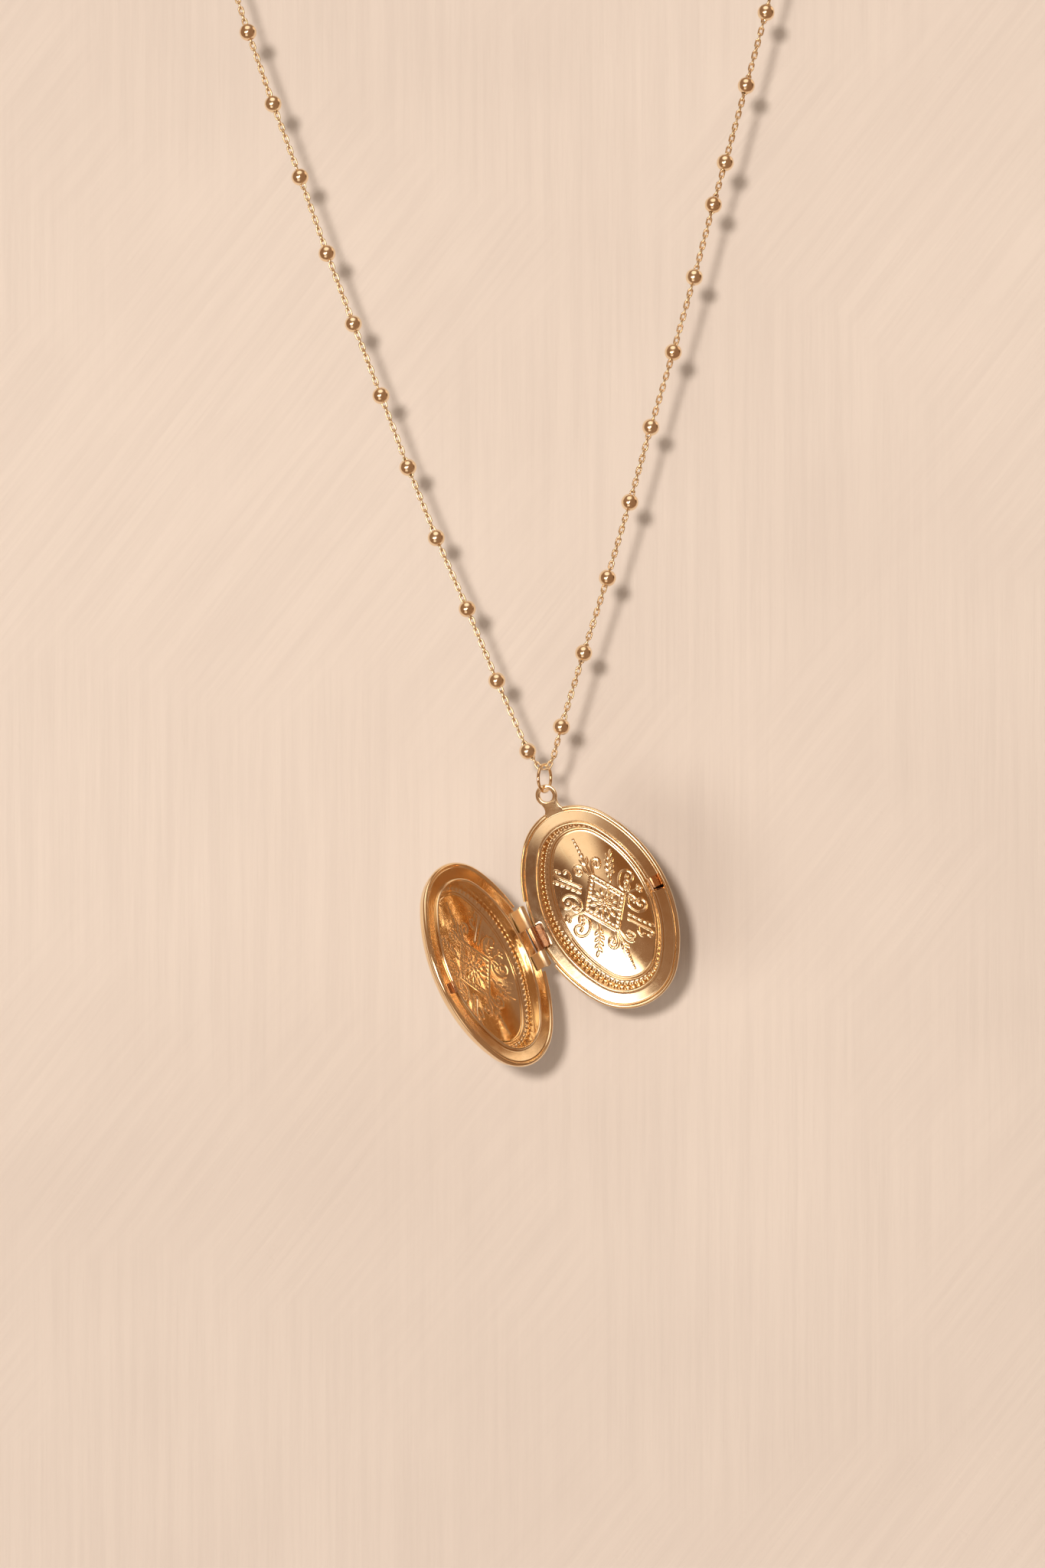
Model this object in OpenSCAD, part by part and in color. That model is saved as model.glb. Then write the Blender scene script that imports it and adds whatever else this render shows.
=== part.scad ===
// Oval photo locket on a fine beaded chain.
// Row frame: +Z up, +X right, the open locket and the chain face -Y. Millimetres.
// The origin is the point where the clasp hook is held.
// Each half is drawn as a bowl in its own frame: X across from hinge to catch,
// Y along the long axis up to the bail, Z = 0 the parting plane, the bowl below it.

/* [Locket Outline] */
// Half of the long axis of the rolled rim
half_length = 16.5; // [12:0.5:24]
// Half of the short axis of the rolled rim
half_width = 11.5; // [8:0.5:17]
// Radius of the two end arcs of the rim
end_radius = 9; // [7:0.1:11]

/* [Shells] */
// Sheet thickness of the stamped shells
sheet = 0.3; // [0.2:0.05:0.6]
// Radius of the rolled rim bead
rim_radius = 0.375; // [0.25:0.025:0.6]
// Gap from the rim's top to the parting plane
parting_gap = 0.05; // [0.03:0.01:0.15]
// Radius of the curved side wall, outside
wall_radius = 2.2; // [1.5:0.1:3.5]
// Rise of the domed floor inside the ring
dome_sag = 1.0; // [0.4:0.1:2]
// Inset of the domed floor from the rim's outside
dome_inset = 3.3; // [2.9:0.1:4]

/* [Frames] */
// Depth of the flange face below the parting plane
flange_depth = 0.26; // [0.15:0.01:0.4]
// Flange plate thickness of the lid's frame
flange_sheet = 0.3; // [0.2:0.05:0.5]
// Plate thickness of the back's frame, which carries the bail
bail_sheet = 0.5; // [0.3:0.05:0.8]
// Inset of the flange's outer edge
flange_inset = 0.72; // [0.6:0.02:0.8]
// Inset of the lip bead's centre
lip_inset = 2.76; // [2.4:0.02:3.2]
// Radius of the lip bead
lip_radius = 0.24; // [0.15:0.01:0.4]
// Wall thickness of the collar below the lip
collar_sheet = 0.26; // [0.2:0.02:0.5]

/* [Bail And Jump Ring] */
// Distance from the locket's centre to the bail eye's centre
bail_reach = 18.9; // [18:0.1:22]
// Outer radius of the bail eye
bail_radius = 1.7; // [1.4:0.1:2.5]
// Hole radius of the bail eye
bail_hole_radius = 1.0; // [0.7:0.05:1.5]
// Radius of the jump ring to its wire's middle
ring_radius = 2.05; // [1.5:0.05:3]
// Wire radius of the jump ring
ring_wire = 0.25; // [0.15:0.05:0.4]

/* [Hinge And Catch] */
// Radius of the hinge knuckles
knuckle_radius = 0.62; // [0.5:0.02:0.9]
// Radius of the hinge pin
pin_radius = 0.3; // [0.2:0.02:0.45]
// Radial running clearance of the pin in the back knuckle
pin_clearance = 0.04; // [0.02:0.01:0.08]
// Length of the whole hinge barrel
barrel_length = 9.8; // [7:0.1:13]
// Opening angle of the lid as it hangs
lid_angle = 112; // [0:1:170]
// Length of the catch window in the back flange
catch_window = 2.0; // [1.6:0.1:3]
// Length of the catch tongue on the lid
catch_tongue_length = 1.6; // [1.2:0.1:2.6]

/* [Chain And Clasp] */
// Outside width of the chain's links
chain_width = 1.0; // [0.6:0.1:2]
// Radius of the round beads on the chain
bead_radius = 1.3; // [0.8:0.1:2.5]
// Wire radius of the clasp's hook
hook_wire = 0.55; // [0.4:0.05:0.8]
// Radius of the clasp's hook to its wire's middle
hook_radius = 2.0; // [1.6:0.1:3]
// Hole radius of the chain's end ring
end_hole_radius = 1.3; // [1:0.1:2]

/* [Hidden] */
$fn = 72;

gold = [0.85, 0.66, 0.42];
pale = [0.90, 0.76, 0.56];
deep = [0.70, 0.50, 0.29];

// four-centre oval: side arc radius, then the arc centres' distances from the middle
side_radius = (half_width ^ 2 + (half_length - end_radius) ^ 2 - end_radius ^ 2)
              / (2 * (half_width - end_radius));
side_centre = side_radius - half_width;
end_centre = half_length - end_radius;

rim_depth = parting_gap + rim_radius;
wall_top = 0.5;
foot_inset = 0.15 + wall_radius;
foot_depth = wall_top + wall_radius;       // outside of the flat ring round the dome
floor_depth = foot_depth - sheet;          // inside of that ring
dome_x = half_width - dome_inset;
dome_y = half_length - dome_inset;
dome_across = (dome_x ^ 2 + dome_sag ^ 2) / (2 * dome_sag);
dome_along = (dome_y ^ 2 + dome_sag ^ 2) / (2 * dome_sag);

// where the locket hangs: a point on the bail eye that rests on the jump ring's wire
hang_point = [51.35, 0, -134.15];
hang_turn = [102.6, -22.9, -21];
hang_slack = 0.1;
hang_local = [0, bail_reach + bail_hole_radius - ring_wire - hang_slack,
              -flange_depth - bail_sheet / 2];
ring_centre = hang_point + [0, 0, ring_radius];
ring_turn = 62;                            // the ring's plane, turned from facing front

hinge_x = -(half_width + 0.03);
hinge_gap = 0.06;
upper_knuckle = [1.5, barrel_length / 2];
lower_knuckle = [-barrel_length / 2, -2.4];
middle_knuckle = [lower_knuckle[1] + hinge_gap, upper_knuckle[0] - hinge_gap];
hinge_room = [0.24, 0.18];                 // round the knuckles, across and in depth
rim_room = [0.86, 0.26];                   // the same in the shells, past the rim bead

catch_x = 10.15;

// the chain's route in the X-Z plane; all points but the first and last carry a bead
left_route = [[50, -129.7], [48.8, -128], [44.1, -117.3], [39.6, -106.4], [34.9, -95.6],
              [30.6, -84.9], [26.5, -74], [22.3, -63.1], [18.3, -52.4], [14.2, -40.8],
              [10.1, -29.7], [6.3, -18.8], [3.4, -9.6]];
right_route = [[52.7, -128.9], [53.9, -124.3], [57.3, -113.1], [60.9, -101.7], [64.3, -90.2],
               [67.5, -78.8], [70.9, -67.4], [74.1, -56], [77, -45], [78.8, -38.6],
               [82, -26.9], [85, -15.8], [86.8, -9]];
centre_link = [51.35, 0, -130.67];

clasp_turn = -19.5;                        // the clasp's long axis, turned from upright
clasp_reach = 8;                           // eye centre to the hook's held point
hook_y = 6.5;
pivot = [-0.85, 3.3];
end_turn = 14.8;

// ---------- shared shapes ----------

// sweep a section, drawn as (inset, height), round the oval: four turned arcs, each cut
// to its share by a wedge from its centre
module oval_sweep() {
  reach = 3;
  for (s = [1, -1]) {
    intersection() {
      translate([0, s * end_centre, 0]) rotate_extrude()
        translate([end_radius, 0]) mirror([1, 0]) children();
      translate([0, 0, -10]) linear_extrude(20)
        polygon([[0, s * end_centre], [-reach * side_centre, s * (reach + 1) * end_centre],
                 [reach * side_centre, s * (reach + 1) * end_centre]]);
    }
    intersection() {
      translate([-s * side_centre, 0, 0]) rotate_extrude()
        translate([side_radius, 0]) mirror([1, 0]) children();
      translate([0, 0, -10]) linear_extrude(20)
        polygon([[-s * side_centre, 0], [s * (reach - 1) * side_centre, reach * end_centre],
                 [s * (reach - 1) * side_centre, -reach * end_centre]]);
    }
  }
}

// solid under a height, bounded below by the domed floor's surface grown outward by t
module dome_cap(t, top) intersection() {
  translate([0, 0, dome_along - floor_depth - dome_sag]) rotate([0, 90, 0])
    rotate([0, 0, -12]) rotate_extrude(angle = 24, $fn = 720)
      translate([dome_along - dome_across, 0]) circle(r = dome_across + t, $fn = 240);
  translate([-half_width, -half_length, top - 3]) cube([2 * half_width, 2 * half_length, 3]);
}

// one shell with its rolled rim, without cut-outs; the dome starts half the sheet lower
module plain_shell() {
  oval_sweep() {
    translate([rim_radius, -rim_depth]) circle(r = rim_radius, $fn = 24);
    translate([foot_inset, -wall_top]) intersection() {
      difference() {
        circle(r = wall_radius);
        circle(r = wall_radius - sheet);
      }
      translate([-wall_radius, -wall_radius]) square(wall_radius);
    }
    translate([foot_inset - 0.01, -foot_depth])
      square([dome_inset + 0.3 - foot_inset, sheet]);
  }
  difference() {
    dome_cap(sheet, -foot_depth + sheet / 2);
    dome_cap(0, -foot_depth + sheet);
  }
}

// room for the hinge barrel in a shell or a frame
module hinge_cut(room) {
  translate([hinge_x - 2, -barrel_length / 2 - 0.4, -knuckle_radius - room[1]])
    cube([2 + knuckle_radius + room[0], barrel_length + 0.8, 2]);
}

// one frame: flange of a given thickness, lip bead and collar, without cut-outs
module plain_frame(plate) {
  oval_sweep() {
    translate([flange_inset, -flange_depth - plate])
      square([lip_inset - flange_inset + 0.1, plate]);
    translate([lip_inset, -parting_gap - lip_radius - 0.02]) circle(r = lip_radius, $fn = 24);
    translate([lip_inset - collar_sheet / 2 + 0.1, -floor_depth + 0.01])
      square([collar_sheet, floor_depth - parting_gap - lip_radius]);
  }
}

// knuckle tube between two positions along the hinge line
module knuckle(span, bore) {
  translate([hinge_x, span[0], 0]) rotate([-90, 0, 0]) difference() {
    cylinder(r = knuckle_radius, h = span[1] - span[0], $fn = 40);
    translate([0, 0, -1]) cylinder(r = bore, h = span[1] - span[0] + 2, $fn = 32);
  }
}

// leaf and knuckle that are soldered on the lid's flange
module lid_knuckle(span) {
  difference() {
    union() {
      translate([hinge_x, span[0], 0]) rotate([-90, 0, 0])
        cylinder(r = knuckle_radius, h = span[1] - span[0], $fn = 40);
      translate([hinge_x, span[0] + 0.05, -flange_depth])
        cube([2.3, span[1] - span[0] - 0.1, flange_depth - parting_gap]);
    }
    translate([hinge_x, span[0] - 1, 0]) rotate([-90, 0, 0])
      cylinder(r = pin_radius, h = span[1] - span[0] + 2, $fn = 32);
  }
}

// wire ring of middle radius r and wire radius w, lying flat
module wire_ring(r, w) rotate_extrude() translate([r, 0]) circle(r = w, $fn = 24);

// ---------- placing ----------

module in_back() translate(hang_point) rotate(hang_turn) translate(-hang_local) children();

// the lid's bowl is the back's, turned over and swung open about the hinge line
module in_lid() in_back() translate([hinge_x, 0, 0]) rotate([0, -lid_angle, 0])
  translate([-hinge_x, 0, 0]) mirror([0, 0, 1]) children();

// clasp frame: Y along the strand, Z to the front, origin at the clasp's eye
module in_clasp() rotate([0, clasp_turn, 0]) translate([0, 0, -clasp_reach])
  rotate([90, 0, 0]) children();

module at_left_end() translate([left_route[12][0], 0, left_route[12][1]])
  rotate([0, clasp_turn, 0]) children();

module at_right_end() translate([right_route[12][0], 0, right_route[12][1]])
  rotate([0, end_turn, 0]) children();

// ---------- locket back ----------

module back_shell() color(gold) in_back() difference() {
  plain_shell();
  hinge_cut(rim_room);
  translate([-1.45, half_length - 1.4, -0.68]) cube([2.9, 3, 2]);
}

module back_frame() color(pale) in_back() {
  plate_low = -flange_depth - bail_sheet;
  difference() {
    plain_frame(bail_sheet);
    hinge_cut(hinge_room);
    // slot that the middle knuckle's strap goes down
    translate([hinge_x + 0.5, middle_knuckle[0] - 0.05, -1])
      cube([1.3, middle_knuckle[1] - middle_knuckle[0] + 0.1, 2]);
    // catch window, with the lip and collar sunk behind it
    translate([8.35, -catch_window / 2, -1.1]) cube([2.35, catch_window, 2]);
  }
  difference() {
    union() {
      translate([0, bail_reach, plate_low]) cylinder(r = bail_radius, h = bail_sheet);
      translate([0, 0, plate_low]) linear_extrude(bail_sheet)
        polygon([[-3.1, 14.6], [-1.7, 15.5], [-1.15, 16.3], [-1.15, bail_reach - 1.1],
                 [1.15, bail_reach - 1.1], [1.15, 16.3], [1.7, 15.5], [3.1, 14.6]]);
    }
    translate([0, bail_reach, plate_low - 1]) cylinder(r = bail_hole_radius, h = 3, $fn = 48);
  }
}

module back_knuckle() color(deep) in_back() {
  span = middle_knuckle;
  strap = span[1] - span[0] - 0.2;
  knuckle(span, pin_radius + pin_clearance);
  // strap that leaves the barrel, dives through the slot and lies under the flange
  translate([hinge_x + 0.2, span[0] + 0.1, -knuckle_radius]) cube([1.3, strap, 0.22]);
  translate([hinge_x + 1.28, span[0] + 0.1, -1.05]) cube([0.24, strap, 0.6]);
  translate([hinge_x + 1.28, span[0] + 0.1, -1.05]) cube([1.4, strap, 0.27]);
}

// ---------- lid ----------

module lid_shell() color(gold) in_lid() difference() {
  plain_shell();
  hinge_cut(rim_room);
}

module lid_frame() color(pale) in_lid() difference() {
  plain_frame(flange_sheet);
  hinge_cut(hinge_room);
}

module lid_upper_knuckle() color(deep) in_lid() lid_knuckle(upper_knuckle);

module lid_lower_knuckle() color(deep) in_lid() lid_knuckle(lower_knuckle);

module hinge_pin() color(pale) in_lid() translate([hinge_x, 0, 0]) rotate([-90, 0, 0]) {
  translate([0, 0, -barrel_length / 2]) cylinder(r = pin_radius, h = barrel_length, $fn = 32);
  for (s = [-1, 1]) translate([0, 0, s * (barrel_length / 2 + 0.07)])
    cylinder(r = pin_radius + 0.14, h = 0.14, center = true, $fn = 32);
}

// tongue that springs into the back's catch window
module catch_tongue() color(deep) in_lid() {
  translate([catch_x - 0.1, -catch_tongue_length / 2, -flange_depth])
    cube([0.2, catch_tongue_length, flange_depth + 0.85]);
  translate([catch_x - 0.9, -catch_tongue_length / 2, -flange_depth])
    cube([1, catch_tongue_length, 0.18]);
  translate([catch_x + 0.06, 0, 0.72]) rotate([90, 0, 0])
    cylinder(r = 0.13, h = catch_tongue_length, center = true, $fn = 24);
}

// ---------- jump ring and chain ----------

module jump_ring() color(gold) translate(ring_centre) rotate([0, 0, ring_turn])
  rotate([90, 0, 0]) wire_ring(ring_radius, ring_wire);

module chain_center_link() color(gold) translate(centre_link) wire_ring(0.58, 0.15);

// tube with eight sides along a route of (x, z) points
function across(a, b) = let (d = b - a) [-d[1], d[0]] / norm(d);
function bend(r, i) = i == 0 ? across(r[0], r[1])
  : i == len(r) - 1 ? across(r[i - 1], r[i])
  : let (s = across(r[i - 1], r[i]) + across(r[i], r[i + 1])) s / norm(s);

module chain_tube(route) {
  sides = 8;
  rows = len(route);
  rings = [for (i = [0:rows - 1]) for (k = [0:sides - 1])
    let (c = bend(route, i), a = 360 * k / sides, w = chain_width / 2)
    [route[i][0] + w * cos(a) * c[0], w * sin(a), route[i][1] + w * cos(a) * c[1]]];
  skin = [for (i = [0:rows - 2]) for (k = [0:sides - 1]) let (n = (k + 1) % sides)
    [i * sides + k, i * sides + n, (i + 1) * sides + n, (i + 1) * sides + k]];
  first = [for (k = [sides - 1:-1:0]) k];
  last = [for (k = [0:sides - 1]) (rows - 1) * sides + k];
  polyhedron(points = rings, faces = concat(skin, [first], [last]));
}

// beads at the route's inner points, each drilled along the chain
module chain_beads(route) for (i = [1:len(route) - 2]) {
  c = bend(route, i);
  translate([route[i][0], 0, route[i][1]]) rotate([0, -atan2(c[1], c[0]), 0]) difference() {
    sphere(r = bead_radius, $fn = 48);
    cylinder(r = chain_width / 2 - 0.04, h = 4, center = true, $fn = 24);
  }
}

module chain_left() color(gold) chain_tube(left_route);
module chain_left_beads() color(pale) chain_beads(left_route);
module chain_right() color(gold) chain_tube(right_route);
module chain_right_beads() color(pale) chain_beads(right_route);

// ---------- clasp at the left end ----------

// ring that joins the last link to the clasp's eye, edge on to the front
module clasp_jump_ring() color(gold) at_left_end()
  translate([0, 0, 1.25]) rotate([0, 90, 0]) wire_ring(1, 0.24);

module clasp_body() color(gold) in_clasp() difference() {
  union() {
    wire_ring(0.85, 0.32);
    // shank, slotted for the lever
    translate([0, 2.6, 0]) cube([2.6, 3, 2], center = true);
    translate([0, 1.1, 0]) rotate([-90, 0, 0]) cylinder(r = 0.75, h = 0.4, $fn = 32);
    // hook
    translate([0, hook_y, 0]) rotate(-75) rotate_extrude(angle = 225)
      translate([hook_radius, 0]) circle(r = hook_wire, $fn = 28);
    translate([0.9, 4, 0]) cube([1, 1.6, 1.3], center = true);
  }
  translate([-3, 1.6, -0.55]) cube([3.6, 3, 1.1]);
  translate([pivot[0], pivot[1], -2]) cylinder(r = 0.3, h = 4, $fn = 28);
}

// lever that closes the hook's mouth, with its thumb tab
module clasp_lever() color(pale) in_clasp() difference() {
  union() {
    translate([pivot[0], pivot[1], -0.4]) cylinder(r = 0.72, h = 0.8, $fn = 36);
    translate([0, 0, -0.4]) linear_extrude(0.8)
      polygon([[-1.35, 3.75], [-2.05, 5], [-2.35, 6.2], [-2.25, 6.9], [-1.85, 7],
               [-1.65, 6.4], [-1.45, 5.1], [-0.5, 3.8]]);
    translate([-1.1, 3, -0.4]) rotate(205) cube([1.8, 0.55, 0.8]);
  }
  translate([pivot[0], pivot[1], -1]) cylinder(r = 0.34, h = 2, $fn = 28);
}

module clasp_pivot_pin() color(deep) in_clasp()
  translate([pivot[0], pivot[1], -1]) cylinder(r = 0.3, h = 2, $fn = 28);

// closed turns of the return spring, in the shank beside the lever's boss
module clasp_spring() color(deep) in_clasp()
  for (i = [0:2]) translate([0.25, 2.0, -0.32 + 0.32 * i]) wire_ring(0.22, 0.09);

// ---------- end ring at the right end ----------

module end_jump_ring() color(gold) at_right_end()
  translate([0, 0, 1.25]) rotate([0, 90, 0]) wire_ring(1, 0.24);

// flat ring that the clasp hooks into, with a small eye for the jump ring
module end_ring() color(pale) at_right_end() translate([0, 0.3, 4.45]) rotate([90, 0, 0])
  difference() {
    union() {
      cylinder(r = end_hole_radius + 0.8, h = 0.6);
      translate([0, -2.2, 0]) cylinder(r = 0.95, h = 0.6, $fn = 36);
    }
    translate([0, 0, -1]) cylinder(r = end_hole_radius, h = 3, $fn = 48);
    translate([0, -2.3, -1]) cylinder(r = 0.5, h = 3, $fn = 32);
  }

back_shell();
back_frame();
back_knuckle();
lid_shell();
lid_frame();
lid_upper_knuckle();
lid_lower_knuckle();
hinge_pin();
catch_tongue();
jump_ring();
chain_center_link();
chain_left();
chain_left_beads();
chain_right();
chain_right_beads();
clasp_jump_ring();
clasp_body();
clasp_lever();
clasp_pivot_pin();
clasp_spring();
end_jump_ring();
end_ring();
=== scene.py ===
"""Looks of the oval photo locket and its beaded chain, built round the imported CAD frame.

Lengths in this file are millimetres in the row frame, or in a half's own frame: X from the
hinge to the catch, Y up to the bail, Z = 0 the parting plane, the bowl below it. They turn
into Blender's metres where a mesh is made. The size values repeat the CAD part's.
"""
import math

import bmesh
import bpy
import numpy as np
from mathutils import Matrix, Vector


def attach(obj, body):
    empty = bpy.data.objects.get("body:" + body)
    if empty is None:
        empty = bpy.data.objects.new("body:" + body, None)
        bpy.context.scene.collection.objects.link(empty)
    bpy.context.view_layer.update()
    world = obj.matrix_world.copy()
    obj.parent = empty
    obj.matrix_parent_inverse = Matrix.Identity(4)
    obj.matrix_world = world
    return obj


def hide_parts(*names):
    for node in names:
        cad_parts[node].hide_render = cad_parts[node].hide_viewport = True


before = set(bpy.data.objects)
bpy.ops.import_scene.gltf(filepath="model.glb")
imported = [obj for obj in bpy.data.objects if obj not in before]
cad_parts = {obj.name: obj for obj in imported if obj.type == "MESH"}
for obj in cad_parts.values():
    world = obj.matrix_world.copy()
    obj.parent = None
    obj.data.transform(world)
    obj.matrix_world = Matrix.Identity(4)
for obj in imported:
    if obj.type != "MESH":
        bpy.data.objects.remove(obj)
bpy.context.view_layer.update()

MM = 0.001

# ---------- sizes of the part ----------

HALF_LENGTH, HALF_WIDTH, END_RADIUS = 16.5, 11.5, 9.0
END_CENTRE = HALF_LENGTH - END_RADIUS
SIDE_RADIUS = (HALF_WIDTH**2 + END_CENTRE**2 - END_RADIUS**2) / (2 * (HALF_WIDTH - END_RADIUS))
SIDE_CENTRE = SIDE_RADIUS - HALF_WIDTH

SHEET = 0.3
RIM_RADIUS, RIM_DEPTH = 0.375, 0.425
WALL_RADIUS, WALL_TOP, FOOT_INSET = 2.2, 0.5, 2.35
FLOOR_DEPTH = 2.4
DOME_INSET, DOME_SAG = 3.3, 1.0
FLANGE_DEPTH, FLANGE_INSET = 0.26, 0.72
PLATE = {"back_half": 0.5, "lid": 0.3}
LIP_INSET, LIP_RADIUS, LIP_DEPTH = 2.76, 0.24, 0.31
COLLAR_OUT, COLLAR_IN = 2.73, 2.99

HINGE_X, LID_ANGLE = -11.53, 112
SHELL_CUT = (-10.05, 5.3, -0.88)       # hinge room: edge in x, half length, floor height
SHELL_CUT_INSETS = (0.19, 0.48)        # where the cut rim's edges end up
STEM_CUT = (1.45, 15, -0.68)           # room for the bail's stem: half width, from y, floor
STEM_CUT_INSETS = (0.1, 0.65)
FRAME_CUT = (-10.67, 5.3)
STRAP_SLOT = (-9.73, -2.39, 1.49)      # edge in x, lowest and highest y
CATCH_WINDOW = (8.35, 1.0, -1.1)       # edge in x, half length, floor height
WINDOW_REACH, WINDOW_TOP = 1.12, 0.62  # the painted shade seen in it: half length, depth

BAIL_REACH, BAIL_RADIUS, BAIL_HOLE = 18.9, 1.7, 1.0
RING_RADIUS, RING_WIRE, RING_TURN = 2.05, 0.25, 62

HANG_POINT = (51.35, 0, -134.15)
HANG_TURN = (102.6, -22.9, -21)
HANG_LOCAL = (0, 19.55, -0.51)

CHAIN_WIDTH, LINK_WIRE, LINK_PITCH = 1.0, 0.15, 0.93
BEAD_RADIUS, BEAD_HOLE = 1.3, 0.52
LEFT_ROUTE = [(50, -129.7), (48.8, -128), (44.1, -117.3), (39.6, -106.4), (34.9, -95.6),
              (30.6, -84.9), (26.5, -74), (22.3, -63.1), (18.3, -52.4), (14.2, -40.8),
              (10.1, -29.7), (6.3, -18.8), (3.4, -9.6)]
RIGHT_ROUTE = [(52.7, -128.9), (53.9, -124.3), (57.3, -113.1), (60.9, -101.7),
               (64.3, -90.2), (67.5, -78.8), (70.9, -67.4), (74.1, -56), (77, -45),
               (78.8, -38.6), (82, -26.9), (85, -15.8), (86.8, -9)]
CENTRE_LINK = (51.35, 0, -130.67)
LEADS = {"left": (50.64, -130.55), "right": (51.9, -130.45)}   # where the strands reach it
CLASP_TURN, END_TURN = -19.5, 14.8


# ---------- places ----------

def shift(v):
    return Matrix.Translation(Vector(v) * MM)


def turn(degrees, axis):
    return Matrix.Rotation(math.radians(degrees), 4, axis)


IN_BACK = (shift(HANG_POINT) @ turn(HANG_TURN[2], "Z") @ turn(HANG_TURN[1], "Y")
           @ turn(HANG_TURN[0], "X") @ shift([-v for v in HANG_LOCAL]))
IN_LID = (IN_BACK @ shift((HINGE_X, 0, 0)) @ turn(-LID_ANGLE, "Y") @ shift((-HINGE_X, 0, 0)))
HALF_PLACE = {"back_half": IN_BACK, "lid": IN_LID}


# ---------- camera ----------

VIEW_CENTRE, VIEW_DISTANCE = (48, -133), 663


def make_camera():
    """Camera square to the wall, level with the middle of the hanging necklace."""
    data = bpy.data.cameras.new("camera")
    data.lens, data.sensor_width = 100.2, 36
    data.clip_start, data.clip_end = 0.05, 20
    camera = bpy.data.objects.new("camera", data)
    bpy.context.scene.collection.objects.link(camera)
    camera.location = (VIEW_CENTRE[0] * MM, -VIEW_DISTANCE * MM, VIEW_CENTRE[1] * MM)
    camera.rotation_euler = (math.radians(90), 0, 0)
    bpy.context.scene.camera = camera


make_camera()


# ---------- mesh helpers ----------

def add_object(name, mesh, place=None):
    """Object at the row frame's origin. A mesh drawn in a half's frame is carried to its
    place, and keeps the half's own coordinates for its materials."""
    own = np.empty(len(mesh.vertices) * 3)
    mesh.vertices.foreach_get("co", own)
    if place is not None:
        mesh.transform(place)
    mark = mesh.attributes.new("own_place", "FLOAT_VECTOR", "POINT")
    mark.data.foreach_set("vector", own)
    piece = bpy.data.objects.new(name, mesh)
    bpy.context.scene.collection.objects.link(piece)
    return piece


def solid(name, points, faces, place=None, sharp=50):
    """Closed mesh from points in mm, with its faces turned outward and smooth shading."""
    points = np.asarray(points, float) * MM
    mesh = bpy.data.meshes.new(name)
    mesh.from_pydata(points.tolist(), [], faces)
    work = bmesh.new()
    work.from_mesh(mesh)
    if work.calc_volume(signed=True) < 0:
        bmesh.ops.reverse_faces(work, faces=work.faces)
    work.to_mesh(mesh)
    work.free()
    finish_shading(mesh, sharp)
    return add_object(name, mesh, place)


def finish_shading(mesh, sharp):
    """Smooth shading, with hard edges above an angle in degrees."""
    mesh.polygons.foreach_set("use_smooth", [True] * len(mesh.polygons))
    mesh.set_sharp_from_angle(angle=math.radians(sharp))


def grid_faces(rows, columns, close_rows):
    """Quads of a grid whose columns close on themselves, and its rows too if asked."""
    last = rows if close_rows else rows - 1
    r, c = np.meshgrid(np.arange(last), np.arange(columns), indexing="ij")
    r2, c2 = (r + 1) % rows, (c + 1) % columns
    quads = np.stack([r * columns + c, r * columns + c2, r2 * columns + c2, r2 * columns + c], -1)
    return quads.reshape(-1, 4).tolist()


def pole_faces(start, pole, count, flip=False):
    """Triangles from a closed row of points to a single point: before the row, or after
    it if flipped."""
    faces = [(pole, start + (c + 1) % count, start + c) for c in range(count)]
    return [face[::-1] for face in faces] if flip else faces


def torus_points(radius, wire, around, section, stretch=0.0, gap=0.0):
    """Points of a wire ring in the X-Y plane: stretch pulls its ends apart in X, gap is a
    slit's angle in degrees at the ring's +X side."""
    if gap:
        a = np.radians(np.linspace(gap / 2, 360 - gap / 2, around))
    else:
        a = np.linspace(0, 2 * math.pi, around, endpoint=False)
    b = np.linspace(0, 2 * math.pi, section, endpoint=False)
    a, b = np.meshgrid(a, b, indexing="ij")
    r = radius + wire * np.cos(b)
    return np.stack([r * np.cos(a) + stretch * np.sign(np.round(np.cos(a), 6)),
                     r * np.sin(a), wire * np.sin(b)], -1).reshape(-1, 3)


def carried(points, place):
    """Points in mm carried by a placing matrix whose lengths are metres."""
    m = np.array(place)
    return points @ m[:3, :3].T + m[:3, 3] / MM


def split_ring(name, centre, turns, radius, wire, gap=1.6):
    """Jump ring: round wire bent to a ring, with the fine slit where its ends meet."""
    around, section = 96, 20
    points = torus_points(radius, wire, around, section, gap=gap)
    faces = grid_faces(around, section, close_rows=False)
    faces += [tuple(range(section)), tuple((around - 1) * section + i for i in range(section))]
    place = shift(centre)
    for degrees, axis in turns:
        place = place @ turn(degrees, axis)
    return solid(name, carried(points, place), faces)


# ---------- cords: the two strands of the chain ----------

def along_route(route, distances):
    """Points and directions at distances along a route of (x, z) points."""
    route = np.array([(x, 0, z) for x, z in route], float)
    steps = np.diff(route, axis=0)
    lengths = np.linalg.norm(steps, axis=1)
    starts = np.concatenate([[0], np.cumsum(lengths)])
    index = np.clip(np.searchsorted(starts, distances, side="right") - 1, 0, len(steps) - 1)
    heading = steps / lengths[:, None]
    spots = route[index] + (distances - starts[index])[:, None] * heading[index]
    return spots, heading[index], starts[-1]


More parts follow.
